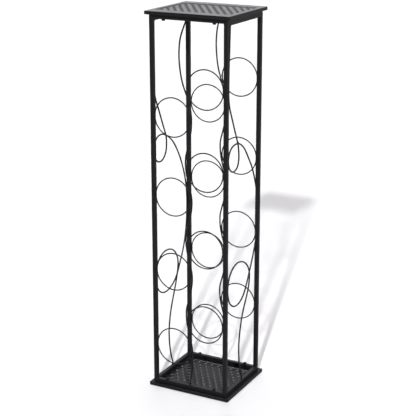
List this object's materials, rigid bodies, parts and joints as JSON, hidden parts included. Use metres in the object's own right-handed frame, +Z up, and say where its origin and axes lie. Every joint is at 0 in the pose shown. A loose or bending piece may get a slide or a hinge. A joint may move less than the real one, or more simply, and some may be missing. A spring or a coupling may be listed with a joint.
{
  "type": "wine rack",
  "caption": "Tall narrow black steel floor rack that holds wine bottles lying front to back in wire rings, with a flat tray on top.",
  "frame": {"origin": "middle of the footprint, on the floor", "axes": "+Z up; -Y is the front, where the bottles go in; X runs left to right across the front"},
  "size_m": [0.235, 0.215, 1],
  "materials": {
    "tray_paint": "black powder coat on embossed sheet",
    "frame_paint": "satin black powder coat on tube",
    "wire_paint": "satin black powder coat on wire",
    "screw_paint": "black-plated pan-head screw",
    "nut_zinc": "bright zinc-plated hexagon nut"
  },
  "bodies": {
    "root": {"base_tray": "tray_paint", "top_tray": "tray_paint", "front_left_post": "frame_paint", "front_right_post": "frame_paint", "back_left_post": "frame_paint", "back_right_post": "frame_paint", "top_front_rail": "frame_paint", "top_back_rail": "frame_paint", "top_left_rail": "frame_paint", "top_right_rail": "frame_paint", "base_front_rail": "frame_paint", "base_back_rail": "frame_paint", "base_left_rail": "frame_paint", "base_right_rail": "frame_paint", "front_ring_left_1": "wire_paint", "front_ring_left_2": "wire_paint", "front_ring_left_3": "wire_paint", "front_ring_left_4": "wire_paint", "front_ring_right_1": "wire_paint", "front_ring_right_2": "wire_paint", "front_ring_right_3": "wire_paint", "front_ring_right_4": "wire_paint", "back_ring_left_1": "wire_paint", "back_ring_left_2": "wire_paint", "back_ring_left_3": "wire_paint", "back_ring_left_4": "wire_paint", "back_ring_right_1": "wire_paint", "back_ring_right_2": "wire_paint", "back_ring_right_3": "wire_paint", "back_ring_right_4": "wire_paint", "front_wave_wire": "wire_paint", "back_wave_wire": "wire_paint", "left_scroll_wire": "wire_paint", "right_scroll_wire": "wire_paint", "top_screws": "screw_paint", "base_screws": "screw_paint", "top_nuts": "nut_zinc", "base_nuts": "nut_zinc"}
  },
  "joints": []
}
